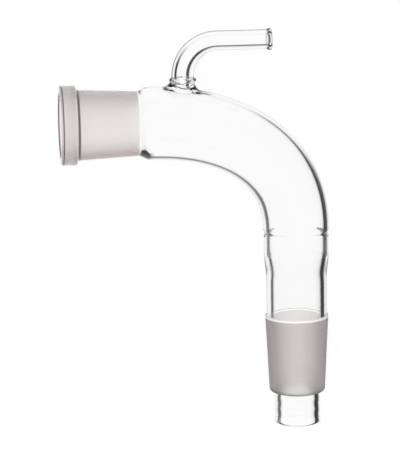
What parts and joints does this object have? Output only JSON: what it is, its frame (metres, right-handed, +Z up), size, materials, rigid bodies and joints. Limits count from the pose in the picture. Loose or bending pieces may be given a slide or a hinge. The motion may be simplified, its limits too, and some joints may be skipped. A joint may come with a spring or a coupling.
{
  "type": "vacuum take-off adapter",
  "caption": "Right-angle borosilicate glass vacuum take-off adapter with a ground socket, a ground cone with drip tip, and a bent side arm for a hose.",
  "frame": {"origin": "bottom centre of the bounding box, on the surface that the adapter lies on", "axes": "+X along the socket axis from the socket mouth towards the bend, +Y along the leg axis from the drip tip up towards the bend and the side arm, +Z up from the surface, square to the plane of the two axes"},
  "size_m": [0.1006, 0.1516, 0.0298],
  "materials": {
    "clear_glass": "polished",
    "ground_glass": "ground"
  },
  "bodies": {
    "root": {"glass_adapter": "clear_glass"}
  },
  "joints": []
}
